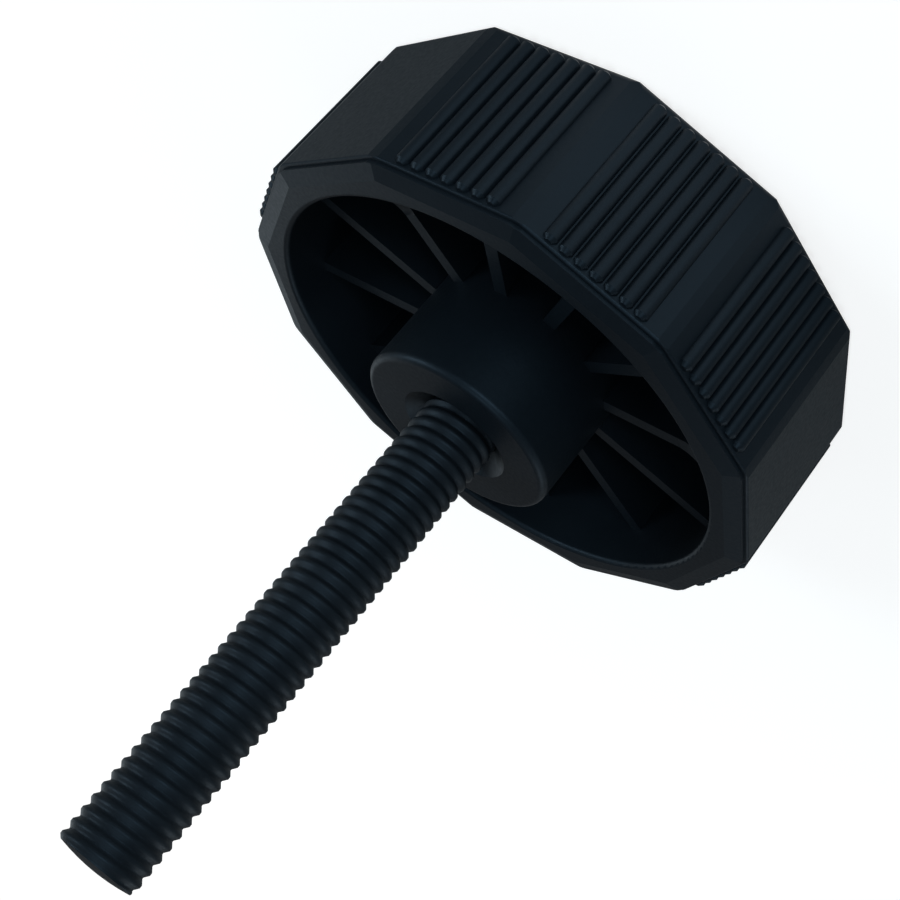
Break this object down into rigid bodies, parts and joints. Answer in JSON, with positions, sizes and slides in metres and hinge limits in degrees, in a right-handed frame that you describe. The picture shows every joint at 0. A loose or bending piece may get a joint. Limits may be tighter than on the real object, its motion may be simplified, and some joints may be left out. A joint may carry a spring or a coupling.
{
  "type": "knurled knob",
  "caption": "Twelve-sided hand knob in black plastic with ridged flats, an open ribbed underside and a threaded steel stud for clamping or adjusting by hand.",
  "frame": {"origin": "centre of the head's closed face, which the knob stands on", "axes": "+Z along the stud, from the closed face to the stud's tip; +X square to a plain flat"},
  "size_m": [0.0567, 0.0574, 0.0738],
  "materials": {
    "moulded_plastic": "satin black moulding",
    "black_steel": "blackened steel, satin"
  },
  "bodies": {
    "root": {"knob_head": "moulded_plastic", "threaded_stud": "black_steel"}
  },
  "joints": []
}
